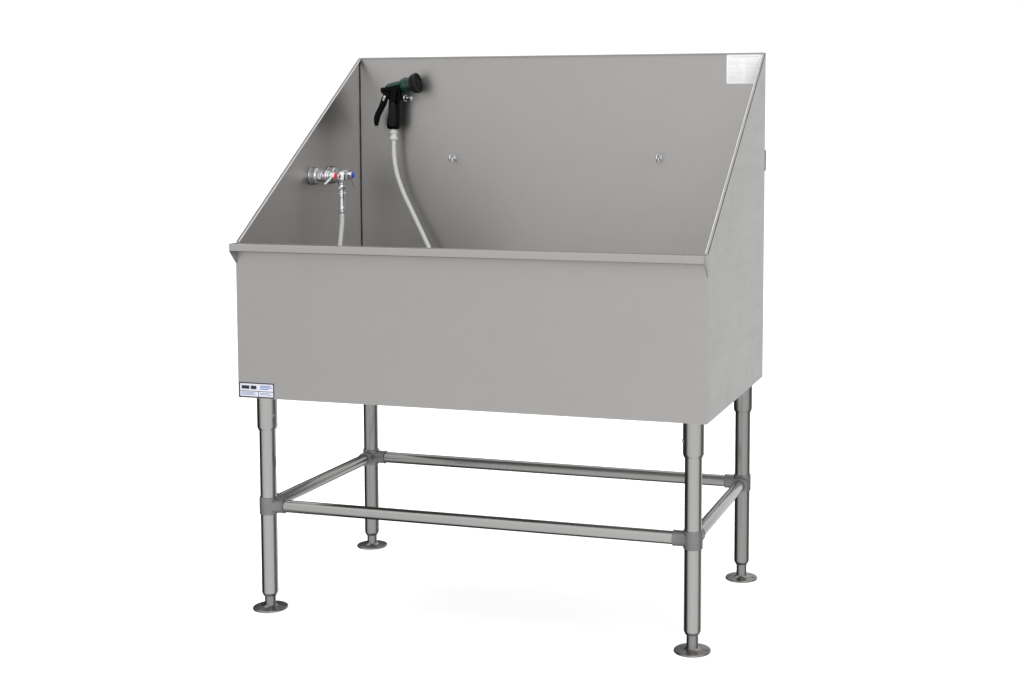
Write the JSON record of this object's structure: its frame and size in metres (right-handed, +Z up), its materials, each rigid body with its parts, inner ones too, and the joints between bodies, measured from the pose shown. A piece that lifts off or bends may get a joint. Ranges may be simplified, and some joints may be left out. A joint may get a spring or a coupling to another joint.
{
  "type": "pet bathtub",
  "caption": "Free-standing stainless grooming tub: deep basin with sloped sides and tall splash back on braced tubular legs, with mixer tap, hose and pistol sprayer.",
  "frame": {"origin": "on the floor at the centre of the whole object's footprint", "axes": "+X to the right along the front panel, +Y from the front panel to the splash back, +Z up"},
  "size_m": [1.2572, 0.7408, 1.455],
  "materials": {
    "brushed_stainless": "brushed, horizontal grain",
    "stainless_tube": "polished tube, satin",
    "foot_steel": "satin",
    "cast_fitting": "matte cast",
    "chrome": "polished",
    "brass": "machined",
    "black_rubber": "matte",
    "black_plastic": "fine texture",
    "sprayer_casing": "black rubber grip with a dark green painted barrel",
    "grey_plastic": "satin",
    "hose_grey": "pale grey, satin",
    "plate_white": "printed plate with a dark border, blank",
    "label_white": "blank label",
    "red_plastic": "gloss",
    "blue_plastic": "gloss"
  },
  "bodies": {
    "tub": {"front_panel": "brushed_stainless", "front_rim": "brushed_stainless", "rim_gusset_left": "brushed_stainless", "rim_gusset_right": "brushed_stainless", "side_panel_left": "brushed_stainless", "side_panel_right": "brushed_stainless", "back_panel": "brushed_stainless", "basin_floor": "brushed_stainless", "underframe_channel_left": "brushed_stainless", "underframe_channel_right": "brushed_stainless", "drain_flange": "brushed_stainless", "drain_tailpiece": "brushed_stainless", "leg_socket_front_left": "stainless_tube", "leg_front_left": "stainless_tube", "tee_front_left": "cast_fitting", "leg_socket_front_right": "stainless_tube", "leg_front_right": "stainless_tube", "tee_front_right": "cast_fitting", "leg_socket_back_left": "stainless_tube", "leg_back_left": "stainless_tube", "tee_back_left": "cast_fitting", "leg_socket_back_right": "stainless_tube", "leg_back_right": "stainless_tube", "tee_back_right": "cast_fitting", "rail_front": "stainless_tube", "rail_back": "stainless_tube", "rail_left": "stainless_tube", "rail_right": "stainless_tube", "drain_gasket": "black_rubber", "drain_locknut": "cast_fitting", "eye_bolt_left": "chrome", "eye_bolt_right": "chrome", "eye_bolt_sprayer": "chrome", "faucet_body": "chrome", "wall_flange_hot": "chrome", "wall_flange_cold": "chrome", "vacuum_breaker": "chrome", "hose_coupling": "chrome", "bumper_left": "black_rubber", "bumper_right": "black_rubber", "rating_plate": "plate_white", "instruction_label": "label_white", "shank_locknut_hot": "brass", "shank_locknut_cold": "brass", "hose": "hose_grey"},
    "hot_handle": {"hot_lever": "chrome", "hot_index_button": "red_plastic"},
    "cold_handle": {"cold_lever": "chrome", "cold_index_button": "blue_plastic"},
    "sprayer": {"sprayer_body": "sprayer_casing", "sprayer_coupling": "grey_plastic"},
    "spray_head": {"sprayer_head": "black_plastic"},
    "trigger": {"sprayer_trigger": "black_plastic"},
    "flow_knob": {"sprayer_flow_knob": "black_plastic"},
    "hold_clip": {"sprayer_hold_clip": "chrome"},
    "strainer_plate": {"strainer": "brushed_stainless"},
    "adjustable_foot_front_left": {"foot_front_left": "foot_steel"},
    "adjustable_foot_front_right": {"foot_front_right": "foot_steel"},
    "adjustable_foot_back_left": {"foot_back_left": "foot_steel"},
    "adjustable_foot_back_right": {"foot_back_right": "foot_steel"}
  },
  "joints": [
    {"name": "hot_lever_turn", "type": "hinge", "parent": "tub", "child": "hot_handle", "pos_m": [-0.5236, 0.04955, 1.114], "axis": [-1, 0, 0], "range_deg": [0, 90]},
    {"name": "cold_lever_turn", "type": "hinge", "parent": "tub", "child": "cold_handle", "pos_m": [-0.5236, 0.15155, 1.114], "axis": [1, 0, 0], "range_deg": [0, 90]},
    {"name": "sprayer_unhook", "type": "slide", "parent": "tub", "child": "sprayer", "axis": [-1, 0, 0], "range_m": [0, 0.045]},
    {"name": "trigger_pull", "type": "hinge", "parent": "sprayer", "child": "trigger", "pos_m": [-0.4866, 0.30855, 1.338], "axis": [0, -1, 0], "range_deg": [0, 13], "stiffness_Nm_per_rad": 1, "springref_deg": -8.59},
    {"name": "spray_head_turn", "type": "hinge", "parent": "sprayer", "child": "spray_head", "pos_m": [-0.39832, 0.30855, 1.37614], "axis": [0.9816, 0, 0.1908], "continuous": true},
    {"name": "flow_knob_turn", "type": "hinge", "parent": "sprayer", "child": "flow_knob", "pos_m": [-0.49649, 0.30855, 1.35706], "axis": [0.9816, 0, 0.1908], "range_deg": [0, 300]},
    {"name": "hold_clip_swing", "type": "hinge", "parent": "sprayer", "child": "hold_clip", "pos_m": [-0.4846, 0.30855, 1.339], "axis": [0, -1, 0], "range_deg": [0, 35]},
    {"name": "strainer_lift_out", "type": "slide", "parent": "tub", "child": "strainer_plate", "axis": [0, 0, 1], "range_m": [0, 0.05]},
    {"name": "foot_front_left_adjust", "type": "slide", "parent": "tub", "child": "adjustable_foot_front_left", "axis": [0, 0, -1], "range_m": [-0.008, 0.012]},
    {"name": "foot_front_right_adjust", "type": "slide", "parent": "tub", "child": "adjustable_foot_front_right", "axis": [0, 0, -1], "range_m": [-0.008, 0.012]},
    {"name": "foot_back_left_adjust", "type": "slide", "parent": "tub", "child": "adjustable_foot_back_left", "axis": [0, 0, -1], "range_m": [-0.008, 0.012]},
    {"name": "foot_back_right_adjust", "type": "slide", "parent": "tub", "child": "adjustable_foot_back_right", "axis": [0, 0, -1], "range_m": [-0.008, 0.012]}
  ]
}
